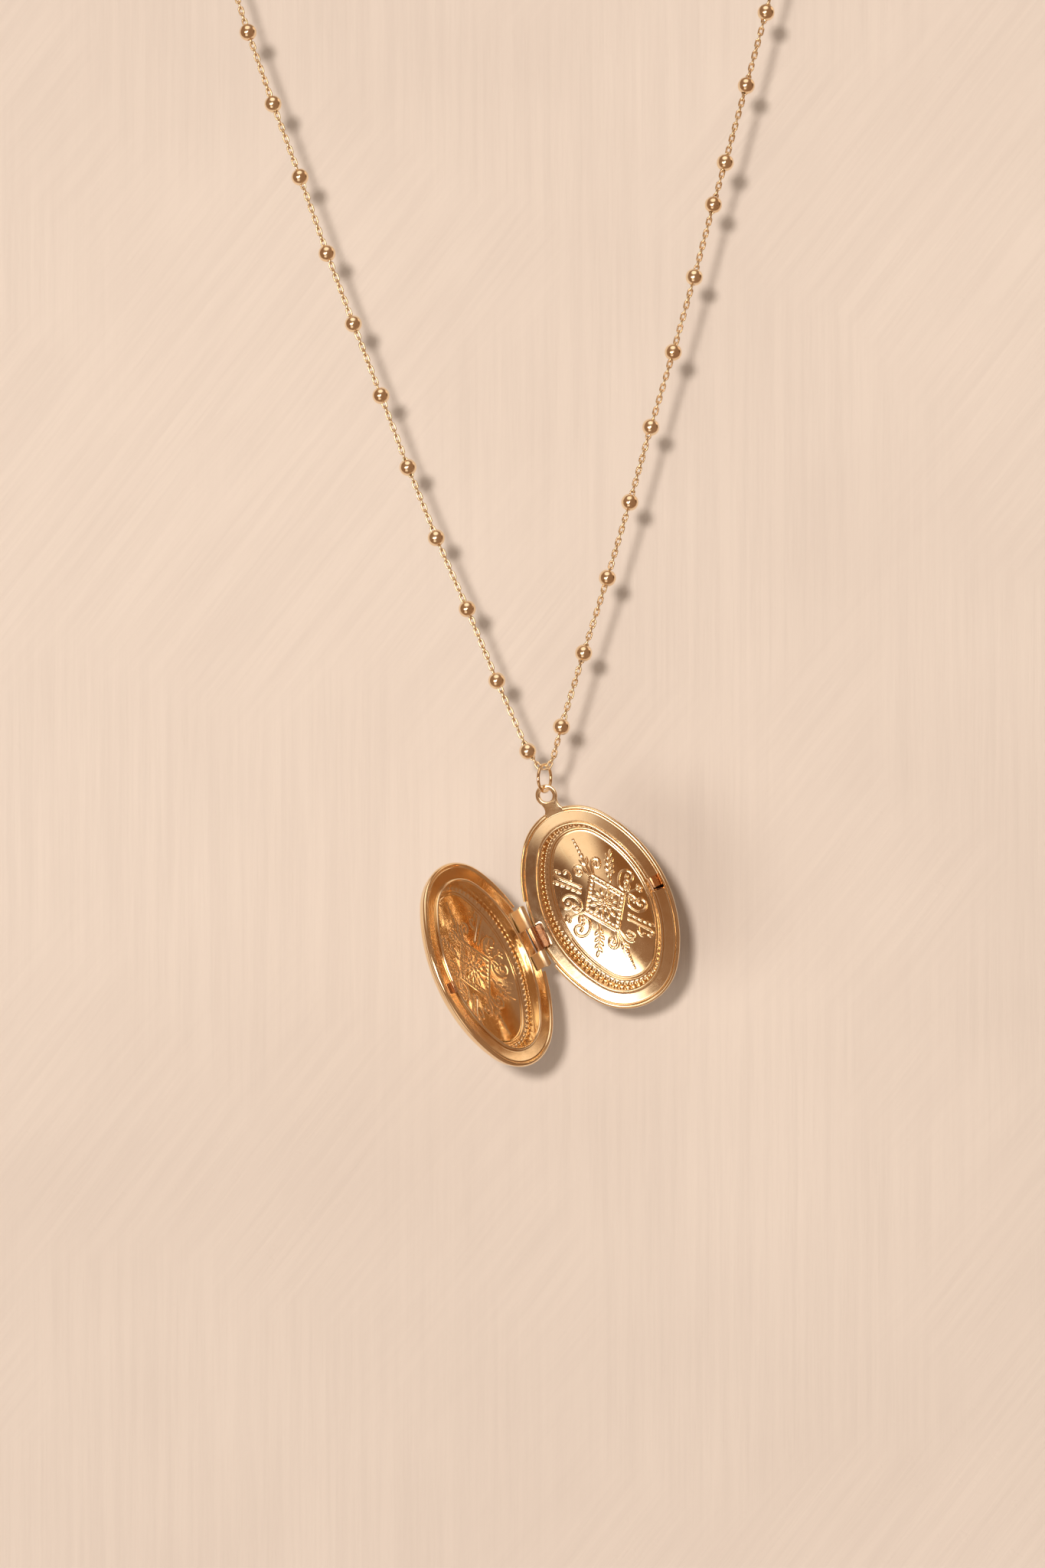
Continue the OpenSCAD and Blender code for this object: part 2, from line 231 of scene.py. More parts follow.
def strand(name, route, seed):
    """A strand of oval cable links, each turned a quarter round from its neighbours."""
    length = along_route(route, np.array([0.0]))[2]
    count = int((length - 1.2 * LINK_PITCH) // LINK_PITCH) + 1
    centres = np.linspace(0.4 * LINK_PITCH, length - 0.7 * LINK_PITCH, count)
    spots, heading, _ = along_route(route, centres)
    around, section = 20, 8
    half_width = CHAIN_WIDTH / 2 - 0.02 - LINK_WIRE
    link = torus_points(half_width, LINK_WIRE, around, section,
                        stretch=LINK_PITCH / 2 + LINK_WIRE - half_width)
    link_faces = np.array(grid_faces(around, section, close_rows=True))
    wobble = np.random.default_rng(seed).uniform(-9, 9, count)
    points, faces = [], []
    front = np.array([0, 1, 0])
    for i in range(count):
        side = np.cross(heading[i], front)
        roll = math.radians(90 * (i % 2) + 12 + wobble[i])
        across = math.cos(roll) * side + math.sin(roll) * front
        up = np.cross(heading[i], across)
        points.append(spots[i] + link @ np.stack([heading[i], across, up]))
        faces.append(link_faces + i * len(link))
    return solid(name, np.concatenate(points), np.concatenate(faces).tolist()), length


def bead_string(name, route):
    """Round beads at a route's inner points, drilled along it with rolled hole edges."""
    columns, edge = 48, 0.07
    start = math.asin((BEAD_HOLE + edge) / BEAD_RADIUS)
    ball = np.linspace(start, math.pi - start, 30)
    profile = [(BEAD_RADIUS * math.sin(a), BEAD_RADIUS * math.cos(a)) for a in ball]
    mouth = profile[-1][1]
    profile += [(BEAD_HOLE + 0.02, mouth + 0.015), (BEAD_HOLE, mouth + 0.07),
                (BEAD_HOLE, -mouth - 0.07), (BEAD_HOLE + 0.02, -mouth - 0.015)]
    a = np.linspace(0, 2 * math.pi, columns, endpoint=False)
    ring = np.stack([np.cos(a), np.sin(a)])
    bead = np.array([[(r * ring[0][c], r * ring[1][c], h) for c in range(columns)]
                     for r, h in profile]).reshape(-1, 3)
    bead_faces = np.array(grid_faces(len(profile), columns, close_rows=True))
    points, faces = [], []
    for i in range(1, len(route) - 1):
        before, here, after = (np.array((route[k][0], 0, route[k][1]), float)
                               for k in (i - 1, i, i + 1))
        axis = (after - here) / np.linalg.norm(after - here)
        axis += (here - before) / np.linalg.norm(here - before)
        axis /= np.linalg.norm(axis)
        front = np.array([0, 1.0, 0])
        side = np.cross(front, axis)
        points.append(here + bead @ np.stack([side, front, axis]))
        faces.append(bead_faces + (i - 1) * len(bead))
    return solid(name, np.concatenate(points), np.concatenate(faces).tolist(), sharp=40)


strands = {}
for side, route, seed in (("left", LEFT_ROUTE, 3), ("right", RIGHT_ROUTE, 8)):
    links, route_length = strand(f"{side}_strand", [LEADS[side], *route], seed)
    beads = bead_string(f"{side}_beads", route)
    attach(links, "necklace")
    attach(beads, "necklace")
    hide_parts(f"chain_{side}")
    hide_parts(f"chain_{side}_beads")
    strands[side] = (links, beads, route_length)


# ---------- the oval ----------

def oval_point(angle, inset):
    """Points of the four-centre oval at the given normal angles, drawn in by an inset."""
    side = np.abs(np.sin(angle)) * SIDE_CENTRE < np.abs(np.cos(angle)) * END_CENTRE
    centre_x = np.where(side, -SIDE_CENTRE * np.sign(np.cos(angle)), 0)
    centre_y = np.where(side, 0, END_CENTRE * np.sign(np.sin(angle)))
    radius = np.where(side, SIDE_RADIUS, END_RADIUS) - inset
    return centre_x + radius * np.cos(angle), centre_y + radius * np.sin(angle)


def oval_columns(count, inset):
    """Normal angles of points evenly spaced round the oval, and the spacing."""
    fine = np.linspace(0, 2 * math.pi, 40001)
    x, y = oval_point(fine, inset)
    run = np.concatenate([[0], np.cumsum(np.hypot(np.diff(x), np.diff(y)))])
    return np.interp(np.arange(count) * run[-1] / count, run, fine), run[-1] / count


# ---------- stamped relief ----------

def bell(t):
    """Smooth bump: 1 at t = 0, 0 from |t| = 1."""
    t = np.clip(1 - t * t, 0, 1)
    return t * t * (3 - 2 * t)


class Relief:
    """Height field of rounded strokes, dots and leaves over points (x, y)."""

    def __init__(self, x, y):
        self.x, self.y, self.height = x, y, np.zeros_like(x)

    def stroke(self, points, widths, rise):
        """Rounded ridge along a line, with a half width at each of its points."""
        points = np.asarray(points, float)
        widths = np.broadcast_to(np.asarray(widths, float), len(points))
        for p, q, w0, w1 in zip(points[:-1], points[1:], widths[:-1], widths[1:]):
            reach = max(w0, w1)
            low, high = np.minimum(p, q) - reach, np.maximum(p, q) + reach
            near = ((self.x > low[0]) & (self.x < high[0])
                    & (self.y > low[1]) & (self.y < high[1]))
            if not near.any():
                continue
            x, y = self.x[near] - p[0], self.y[near] - p[1]
            d = q - p
            t = np.clip((x * d[0] + y * d[1]) / max(d @ d, 1e-9), 0, 1)
            away = np.hypot(x - t * d[0], y - t * d[1])
            width = w0 + t * (w1 - w0)
            bump = rise * np.minimum(1, width / 0.14) * bell(away / width)
            self.height[near] = np.maximum(self.height[near], bump)

    def dot(self, centre, radius, rise):
        self.stroke([centre, np.add(centre, (0.01, 0))], radius, rise)

    def leaf(self, base, heading, length, width, rise):
        """Leaf from its base, with a pointed tip and a swollen middle."""
        along = np.linspace(0, 1, 7)
        a = math.radians(heading)
        points = [(base[0] + length * t * math.cos(a), base[1] + length * t * math.sin(a))
                  for t in along]
        self.stroke(points, 0.04 + width * np.sin(math.pi * along**0.8), 0.8 * rise)


def bent(*corners, steps=8):
    """Smooth line through corner points (Catmull-Rom)."""
    c = np.array([corners[0], *corners, corners[-1]], float)
    t = np.linspace(0, 1, steps, endpoint=False)[:, None]
    out = [0.5 * (2 * b + (d - a) * t + (2 * a - 5 * b + 4 * d - e) * t**2
                  + (3 * b - a - 3 * d + e) * t**3)
           for a, b, d, e in zip(c[:-3], c[1:-2], c[2:-1], c[3:])]
    return np.concatenate([*out, c[-1:]])


def draw_quarter(relief, sx, sy):
    """What repeats in each quarter of the ornament, mirrored by the signs sx and sy."""
    def at(*points):
        return [(sx * x, sy * y) for x, y in points]

    def heading(degrees):
        a = math.radians(degrees)
        return math.degrees(math.atan2(sy * math.sin(a), sx * math.cos(a)))

    # rhombus frame: a plain bar outside, a thin bar inside, beads between them
    relief.stroke(at((3.55, 0), (0, 4.85)), 0.17, 0.12)
    relief.stroke(at((2.8, 0), (0, 3.85)), 0.12, 0.07)
    for t in np.linspace(0.08, 0.92, 8):
        relief.dot((sx * 3.17 * (1 - t), sy * 4.35 * t), 0.2, 0.1)
    # leaves between the frame and the flower
    relief.leaf((sx * 0.85, sy * 0.95), heading(48), 1.0, 0.26, 0.14)
    relief.leaf((sx * 0.25, sy * 1.5), heading(72), 1.0, 0.22, 0.13)
    relief.leaf((sx * 1.35, sy * 0.35), heading(18), 0.8, 0.22, 0.13)
    # side scroll: a C with a spiral at its far end and beads along its inside
    relief.stroke(at(*bent((3.7, 0.75), (3.45, 1.6), (3.75, 2.5), (4.5, 3.25), (5.4, 3.35),
                           (6.05, 2.85), (6.1, 2.05), (5.6, 1.55), (5.0, 1.75), (4.95, 2.3))),
                  0.17, 0.12)
    relief.dot((sx * 5.25, sy * 2.45), 0.28, 0.13)
    for x, y, r in ((4.55, 1.65, 0.27), (4.3, 1.1, 0.25), (4.15, 0.6, 0.22)):
        relief.dot((sx * x, sy * y), r, 0.14)
    relief.stroke(at(*bent((4.9, 1.2), (4.75, 0.75), (4.4, 0.28))), 0.15, 0.12)
    # curls beside the top and bottom stems
    relief.stroke(at(*bent((0.28, 4.75), (0.55, 5.5), (0.72, 6.3), (1.3, 6.95), (2.0, 6.75),
                           (2.2, 6.05), (1.75, 5.5), (1.2, 5.75), (1.3, 6.2))), 0.16, 0.12)
    relief.dot((sx * 1.45, sy * 6.15), 0.24, 0.12)
    relief.leaf((sx * 0.1, sy * 6.6), heading(62), 1.15, 0.24, 0.15)


def draw_sprays(relief, s):
    """The two leafy sprays of one end; the other end has them turned half round (s = -1)."""
    turned = 0 if s > 0 else 180
    # bar with leaves along its lower side, and two hooks past its end
    relief.stroke(np.multiply([(-2.45, 3.75), (-4.95, 6.55)], s), 0.2, 0.15)
    for x, y in ((-2.75, 2.95), (-3.35, 3.65), (-3.95, 4.35), (-4.6, 5.0), (-5.2, 5.6)):
        relief.leaf((s * x, s * y), 138 + turned, 0.85, 0.24, 0.15)
    relief.stroke(s * bent((-4.95, 6.5), (-5.15, 7.1), (-4.75, 7.55), (-4.35, 7.15)), 0.17, 0.14)
    relief.stroke(s * bent((-3.35, 5.35), (-3.1, 6.1), (-3.3, 6.85), (-3.75, 6.7)), 0.16, 0.13)
    # twig with leaves on both sides
    relief.stroke(s * bent((2.35, 2.75), (2.75, 3.9), (3.35, 5.1), (4.25, 6.6)), 0.15, 0.13)
    for x, y, heading in ((2.6, 3.3, 100), (2.9, 4.3, 112), (3.3, 5.1, 105), (3.8, 5.9, 98),
                          (2.8, 3.6, 20), (3.2, 4.6, 12), (3.6, 5.4, 18), (4.2, 6.4, 52)):
        relief.leaf((s * x, s * y), heading + turned, 0.95, 0.23, 0.15)
    # stem and the trail of dots that fades towards the ring
    relief.stroke(s * bent((0, 4.7), (0, 6.0), (0, 7.6)), 0.16, 0.13)
    for y, r in ((8.2, 0.32), (8.95, 0.25), (9.65, 0.22), (10.3, 0.18), (10.9, 0.15)):
        relief.dot((0, s * y), r, 0.13)
    # trefoil between the side scrolls
    for x, y in ((5.9, 0), (6.5, 0.0), (6.2, 0.42), (6.2, -0.42)):
        relief.dot((s * x, y), 0.27, 0.15)
    relief.stroke([(s * 3.6, 0), (s * 5.6, 0)], 0.12, 0.1)


def ornament(x, y):
    """Heights of the whole foliate ornament at points of a half's floor."""
    relief = Relief(x, y)
    # flower: a boss with eight petals
    relief.dot((0, 0), 0.44, 0.18)
    for heading in np.arange(22.5, 360, 45):
        a = math.radians(heading)
        relief.leaf((0.5 * math.cos(a), 0.5 * math.sin(a)), heading, 0.72, 0.2, 0.16)
    for sx in (1, -1):
        for sy in (1, -1):
            draw_quarter(relief, sx, sy)
    for s in (1, -1):
        draw_sprays(relief, s)
    return relief.height


# ---------- shells ----------

BEAD_COUNT, COLUMNS = 80, 560
BEAD_ROW, BEAD_ROW_RADIUS, BEAD_ROW_RISE = 3.38, 0.3, 0.17
RIDGES = ((4.0, 0.16, 0.1), (4.36, 0.14, 0.08))       # inset, half width, rise
LAST_INSET = 4.6                       # from here the rows shrink towards the middle
SHRINKING_ROWS = 72
ORNAMENT_SCALE = 0.8                   # of the rises that the ornament is drawn with


def dome_height(x, y):
    """The domed floor's inner surface, a cap of a torus as in the CAD part."""
    across = ((HALF_WIDTH - DOME_INSET)**2 + DOME_SAG**2) / (2 * DOME_SAG)
    along = ((HALF_LENGTH - DOME_INSET)**2 + DOME_SAG**2) / (2 * DOME_SAG)
    middle = along - FLOOR_DEPTH - DOME_SAG
    return middle - np.sqrt((along - across + np.sqrt(across**2 - x**2))**2 - y**2)


def floor_rows(angles, insets, bead_side):
    """One face of the floor as rows of points: at constant insets, then shrinking towards
    the middle with ever fewer points. The ornament and ridges sink outward; the bead row
    swells to both faces."""
    rows = [oval_point(angles, inset) for inset in insets]
    edge = oval_point(angles, LAST_INSET)
    for span in np.linspace(1, 1 / SHRINKING_ROWS, SHRINKING_ROWS):
        step = next(k for k in (1, 2, 4, 8) if k == 8 or span > 0.5 / k)
        rows.append([span * part[::step] for part in edge])
    x, y = (np.concatenate([row[axis] for row in rows]) for axis in (0, 1))
    height = np.minimum(-FLOOR_DEPTH, dome_height(x, y))
    ringed = height[:len(insets) * len(angles)].reshape(len(insets), len(angles))
    pitch, spacing = len(angles) / BEAD_COUNT, oval_columns(len(angles), BEAD_ROW)[1]
    offset = (np.arange(len(angles)) + pitch / 2) % pitch - pitch / 2
    for row, inset in zip(ringed, insets):
        if inset < DOME_INSET:
            row[:] = -FLOOR_DEPTH
        for centre, half, rise in RIDGES:
            row -= rise * bell((inset - centre) / half)
        away = np.hypot(offset * spacing, inset - BEAD_ROW)
        swell = np.sqrt(np.clip(1 - (away / BEAD_ROW_RADIUS)**2, 0, 1))
        row += bead_side * BEAD_ROW_RISE * swell
    points = np.stack([x, y, height - ORNAMENT_SCALE * ornament(x, y)], -1)
    return np.split(points, np.cumsum([len(row[0]) for row in rows])[:-1])


def ring_faces(start, count, next_start, next_count):
    """Faces between two closed rows of points; one row may have twice the other's."""
    faces = []
    for j in range(min(count, next_count)):
        if count == next_count:
            k = (j + 1) % count
            faces.append((start + j, start + k, next_start + k, next_start + j))
        elif count < next_count:
            k, mid, far = (j + 1) % count, 2 * j + 1, (2 * j + 2) % next_count
            faces.append((start + j, start + k, next_start + far, next_start + mid))
            faces.append((start + j, next_start + mid, next_start + 2 * j))
        else:
            k, mid, far = (j + 1) % next_count, 2 * j + 1, (2 * j + 2) % count
            faces.append((start + 2 * j, start + mid, next_start + k, next_start + j))
            faces.append((start + mid, start + far, next_start + k))
    return faces


def wall_and_rim(angles, body):
    """Rows of the curved wall's inside, the rolled rim and the wall's outside."""
    def arc(radius, first, last, count):
        a = np.radians(np.linspace(first, last, count))
        return FOOT_INSET - radius * np.cos(a), -WALL_TOP - radius * np.sin(a)

    wall_in, wall_in_z = arc(WALL_RADIUS - SHEET, 88, 10, 9)
    bead = np.radians(np.linspace(-72, 236, 14))
    rim, rim_z = RIM_RADIUS + RIM_RADIUS * np.cos(bead), -RIM_DEPTH + RIM_RADIUS * np.sin(bead)
    wall_out, wall_out_z = arc(WALL_RADIUS, 9, 88, 8)
    insets = np.concatenate([wall_in, rim, wall_out])[:, None] * np.ones(len(angles))
    heights = np.concatenate([wall_in_z, rim_z, wall_out_z])[:, None] * np.ones(len(angles))

    # the rim is cut away for the hinge barrel, and in the back half for the bail's stem
    rim_x, rim_y = oval_point(angles, RIM_RADIUS)
    hinge_side = (rim_x < SHELL_CUT[0]) & (np.abs(rim_y) < SHELL_CUT[1])
    cuts = [(hinge_side, SHELL_CUT[2], SHELL_CUT_INSETS)]
    if body == "back_half":
        stem_side = (np.abs(rim_x) < STEM_CUT[0]) & (rim_y > STEM_CUT[1])
        cuts.append((stem_side, STEM_CUT[2], STEM_CUT_INSETS))
    for columns, top, (low, high) in cuts:
        over = (heights > top) & columns[None, :]
        heights[over] = top
        insets[over] = np.clip(insets[over], low, high)
    x, y = oval_point(angles[None, :], insets)
    return list(np.stack([x, y, heights], -1))


def make_shell(name, body):
    """Stamped shell: inner floor, curved wall, rolled rim and outer floor in one skin."""
    angles = oval_columns(COLUMNS, BEAD_ROW)[0]
    inner = floor_rows(angles, np.arange(2.4, LAST_INSET, 0.09), bead_side=1)
    outer = floor_rows(angles, np.arange(2.45, LAST_INSET, 0.14), bead_side=-1)
    outer = [row - (0, 0, SHEET) for row in outer]
    rows = inner[::-1] + wall_and_rim(angles, body) + outer
    starts = np.concatenate([[0], np.cumsum([len(row) for row in rows])]).tolist()
    faces = []
    for i in range(len(rows) - 1):
        faces += ring_faces(starts[i], len(rows[i]), starts[i + 1], len(rows[i + 1]))
    faces += pole_faces(starts[0], starts[-1], len(rows[0]))
    faces += pole_faces(starts[-2], starts[-1] + 1, len(rows[-1]), flip=True)
    poles = [row.mean(axis=0) for row in (rows[0], rows[-1])]
    points = np.concatenate([*rows, poles])
    if body == "lid":
        points[:, 2] *= -1
    shell = solid(name, points, faces, HALF_PLACE[body], sharp=65)
    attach(shell, body)
    return shell


back_shell = make_shell("back_bowl", "back_half")
lid_shell = make_shell("lid_bowl", "lid")
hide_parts("back_shell")
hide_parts("lid_shell")


# ---------- frames ----------

FLANGE_SLOPE = 0.19 / 1.8              # how far the flange face drops for each mm inward
FRAME_COLUMNS = 480


def frame_section(plate):
    """Closed outline (inset, height) of flange, lip bead and collar."""
    top, low = -FLANGE_DEPTH, -FLANGE_DEPTH - plate
    bead = np.radians(np.linspace(212, -16, 17))
    outline = [(FLANGE_INSET, low + 0.05), (FLANGE_INSET, top - 0.05),
               (FLANGE_INSET + 0.015, top - 0.015), (FLANGE_INSET + 0.05, top)]
    outline += [(inset, top - FLANGE_SLOPE * (inset - FLANGE_INSET))
                for inset in np.linspace(FLANGE_INSET + 0.2, 2.42, 8)]
    outline += [(LIP_INSET + LIP_RADIUS * math.cos(a), -LIP_DEPTH + LIP_RADIUS * math.sin(a))
                for a in bead]
    outline += [(COLLAR_IN, z) for z in np.linspace(-0.5, -FLOOR_DEPTH + 0.05, 7)]
    outline += [(COLLAR_IN - 0.03, -FLOOR_DEPTH + 0.01), (COLLAR_OUT + 0.03, -FLOOR_DEPTH + 0.01),
                (COLLAR_OUT, -FLOOR_DEPTH + 0.05), (COLLAR_OUT, -1.2),
                (COLLAR_OUT, low - 0.04), (COLLAR_OUT - 0.06, low), (FLANGE_INSET + 0.05, low)]
    return np.array(outline)


def make_frame(name, body):
    """Flange plate with its lip and collar, cut away for the hinge and the catch."""
    angles = oval_columns(FRAME_COLUMNS, 2.0)[0]
    outline = frame_section(PLATE[body])
    insets = outline[:, :1] * np.ones(FRAME_COLUMNS)
    heights = outline[:, 1:] * np.ones(FRAME_COLUMNS)
    if body == "back_half":
        # catch window: flange, lip and collar end at its floor
        lip_x, lip_y = oval_point(angles, LIP_INSET)
        window = ((lip_x > 0) & (np.abs(lip_y) < CATCH_WINDOW[1]))[None, :]
        cut = window & (heights > CATCH_WINDOW[2])
        heights[cut] = CATCH_WINDOW[2]
        insets[cut] = np.clip(insets[cut], COLLAR_OUT, COLLAR_IN)
    x, y = oval_point(angles[None, :], insets)
    room = (x < 0) & (np.abs(y) < FRAME_CUT[1])
    x[room] = np.maximum(x[room], FRAME_CUT[0])
    if body == "back_half":
        slot = (x < 0) & (y > STRAP_SLOT[1]) & (y < STRAP_SLOT[2])
        x[slot] = np.maximum(x[slot], STRAP_SLOT[0])
    points = np.stack([x, y, heights], -1).reshape(-1, 3)
    if body == "lid":
        points[:, 2] *= -1
    piece = solid(name, points, grid_faces(len(outline), FRAME_COLUMNS, close_rows=True),
                  HALF_PLACE[body], sharp=60)
    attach(piece, body)
    return piece


def arc_points(centre, radius, first, last, count):
    """Points of an arc from a first to a last angle in degrees."""
    a = np.radians(np.linspace(first, last, count))
    return [(centre[0] + radius * math.cos(t), centre[1] + radius * math.sin(t)) for t in a]


def make_bail():
    """Bail: the tongue of the back's flange, with a rounded eye for the jump ring."""
    right = [(3.3, 15.0), (2.9, 15.5), (2.2, 15.85), (1.6, 16.2), (1.28, 16.7), (1.2, 17.2),
             (1.27, 17.6)]
    eye = arc_points((0, BAIL_REACH), BAIL_RADIUS, -40, 220, 60)
    left = [(-x, y) for x, y in reversed(right)]
    hole = arc_points((0, BAIL_REACH), BAIL_HOLE, 0, 352.5, 48)
    data = bpy.data.curves.new("bail_outline", "CURVE")
    data.dimensions, data.fill_mode = "2D", "BOTH"
    data.extrude, data.bevel_depth, data.bevel_resolution = 0.11 * MM, 0.14 * MM, 4
    data.offset = -data.bevel_depth
    for outline in (right + eye + left, hole):
        spline = data.splines.new("POLY")
        spline.points.add(len(outline) - 1)
        for point, (x, y) in zip(spline.points, outline):
            point.co = (x * MM, y * MM, 0, 1)
        spline.use_cyclic_u = True
    curve = bpy.data.objects.new("bail_outline", data)
    bpy.context.scene.collection.objects.link(curve)
    shape = bpy.data.meshes.new_from_object(
        curve.evaluated_get(bpy.context.evaluated_depsgraph_get()))
    bpy.data.objects.remove(curve)
    work = bmesh.new()
    work.from_mesh(shape)
    bmesh.ops.remove_doubles(work, verts=work.verts, dist=1e-7)
    bmesh.ops.recalc_face_normals(work, faces=work.faces)
    middle = -FLANGE_DEPTH - PLATE["back_half"] / 2
    for v in work.verts:
        # below the stem the front face sinks to meet the flange's slope
        sunk = max(0.0, 16.2 - v.co.y / MM) / 1.2
        v.co.z += (middle - (0.1 * sunk if v.co.z > 0 else 0)) * MM
    work.to_mesh(shape)
    work.free()
    shape.name = "bail_tongue"
    finish_shading(shape, 50)
    bail = add_object("bail_tongue", shape, IN_BACK)
    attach(bail, "back_half")
    return bail


back_frame = make_frame("back_flange_and_lip", "back_half")
lid_frame = make_frame("lid_flange_and_lip", "lid")
bail = make_bail()
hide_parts("back_frame")
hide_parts("lid_frame")


# ---------- rings ----------

jump_ring = split_ring("jump_ring_wire", np.add(HANG_POINT, (0, 0, RING_RADIUS)),
                       [(RING_TURN, "Z"), (90, "X"), (70, "Z")], RING_RADIUS, RING_WIRE)
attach(jump_ring, "jump_ring")
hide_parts("jump_ring")


def make_centre_link():
    """The chain's lowest link, which lies across the jump ring, a little below its wire."""
    around, section, drop = 48, 14, 0.1
    points = torus_points(0.33, 0.13, around, section, stretch=0.25)
    link = solid("centre_link_wire", points + np.add(CENTRE_LINK, (0, 0, -drop)),
                 grid_faces(around, section, close_rows=True))
    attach(link, "necklace")
    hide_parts("chain_center_link")
    return link


def end_loop(name, node, at, angle):
    """Jump ring at a strand's end, edge on to the front."""
    place = turn(angle, "Y") @ shift((0, 0, 1.25))
    centre = np.add((at[0], 0, at[1]), place.translation / MM)
    ring = split_ring(name, centre, [(angle, "Y"), (90, "Y"), (35, "Z")], 1.0, 0.24, gap=2.4)
    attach(ring, "necklace")
    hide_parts(node)
    return ring


centre_link = make_centre_link()
clasp_loop = end_loop("clasp_loop_wire", "clasp_jump_ring", LEFT_ROUTE[-1], CLASP_TURN)
end_ring_loop = end_loop("end_loop_wire", "end_jump_ring", RIGHT_ROUTE[-1], END_TURN)


# ---------- small pieces, with their edges rounded ----------

SHARP_EDGE = math.radians(32)          # edges above this angle are broken


def rounded(node, name, body, width):
    """The CAD node's shape with its edges broken by a width in mm, shown in its place."""
    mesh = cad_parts[node].data.copy()
    mesh.name = name
    mesh.materials.clear()
    work = bmesh.new()
    work.from_mesh(mesh)
    bmesh.ops.remove_doubles(work, verts=work.verts, dist=2e-7)
    bmesh.ops.dissolve_limit(work, angle_limit=math.radians(0.6), verts=work.verts,
                             edges=work.edges)
    work.to_mesh(mesh)
    work.free()
    piece = add_object(name, mesh)
    mesh.polygons.foreach_set("use_smooth", [True] * len(mesh.polygons))
    bevel = piece.modifiers.new("edges", "BEVEL")
    bevel.width, bevel.segments = width * MM, 3
    bevel.limit_method, bevel.angle_limit = "ANGLE", SHARP_EDGE
    bevel.use_clamp_overlap = True
    weighted = piece.modifiers.new("normals", "WEIGHTED_NORMAL")
    weighted.keep_sharp = True
    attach(piece, body)
    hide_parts(node)
    return piece


def cast(node, name, body, voxel, passes):
    """The CAD node's shape as a soft-edged casting, shown in its place: a skin of voxels
    of a size in mm, smoothed in some passes."""
    rough = bpy.data.objects.new(name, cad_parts[node].data.copy())
    bpy.context.scene.collection.objects.link(rough)
    remesh = rough.modifiers.new("skin", "REMESH")
    remesh.mode, remesh.voxel_size = "VOXEL", voxel * MM
    smooth = rough.modifiers.new("soften", "SMOOTH")
    smooth.factor, smooth.iterations = 0.5, passes
    mesh = bpy.data.meshes.new_from_object(
        rough.evaluated_get(bpy.context.evaluated_depsgraph_get()))
    bpy.data.objects.remove(rough)
    mesh.name = name
    mesh.materials.clear()
    finish_shading(mesh, 80)
    piece = add_object(name, mesh)
    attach(piece, body)
    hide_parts(node)
    return piece


small = {
    "back_knuckle": rounded("back_knuckle", "back_hinge_strap", "back_half", 0.04),
    "upper_knuckle": rounded("lid_upper_knuckle", "lid_hinge_leaf_upper", "lid", 0.05),
    "lower_knuckle": rounded("lid_lower_knuckle", "lid_hinge_leaf_lower", "lid", 0.05),
    "pin": rounded("hinge_pin", "hinge_pin_rod", "lid", 0.05),
    "tongue": rounded("catch_tongue", "catch_tongue_spring", "lid", 0.04),
    "clasp_body": cast("clasp_body", "clasp_hook", "necklace", voxel=0.07, passes=14),
    "clasp_lever": cast("clasp_lever", "clasp_lever_arm", "clasp_lever", voxel=0.05, passes=8),
    "clasp_pivot": rounded("clasp_pivot_pin", "clasp_pivot_rivet", "necklace", 0.06),
    "end_ring": rounded("end_ring", "end_ring_plate", "necklace", 0.12),
}


# ---------- materials ----------

def add_node(tree, kind, inputs=(), **settings):
    """New node; each input is a value, or another node's output to link to it."""
    node = tree.nodes.new(kind)
    for key, value in settings.items():
        setattr(node, key, value)
    for key, value in dict(inputs).items():
        if isinstance(value, bpy.types.NodeSocket):
            tree.links.new(value, node.inputs[key])
        else:
            node.inputs[key].default_value = value
    return node


def mix_colours(tree, factor, first, second):
    """Mixed colour; first and second are (r, g, b) or another node's output."""
    first, second = (c if isinstance(c, bpy.types.NodeSocket) else (*c, 1)
                     for c in (first, second))
    return add_node(tree, "ShaderNodeMix", {0: factor, 6: first, 7: second},
                    data_type="RGBA").outputs[2]


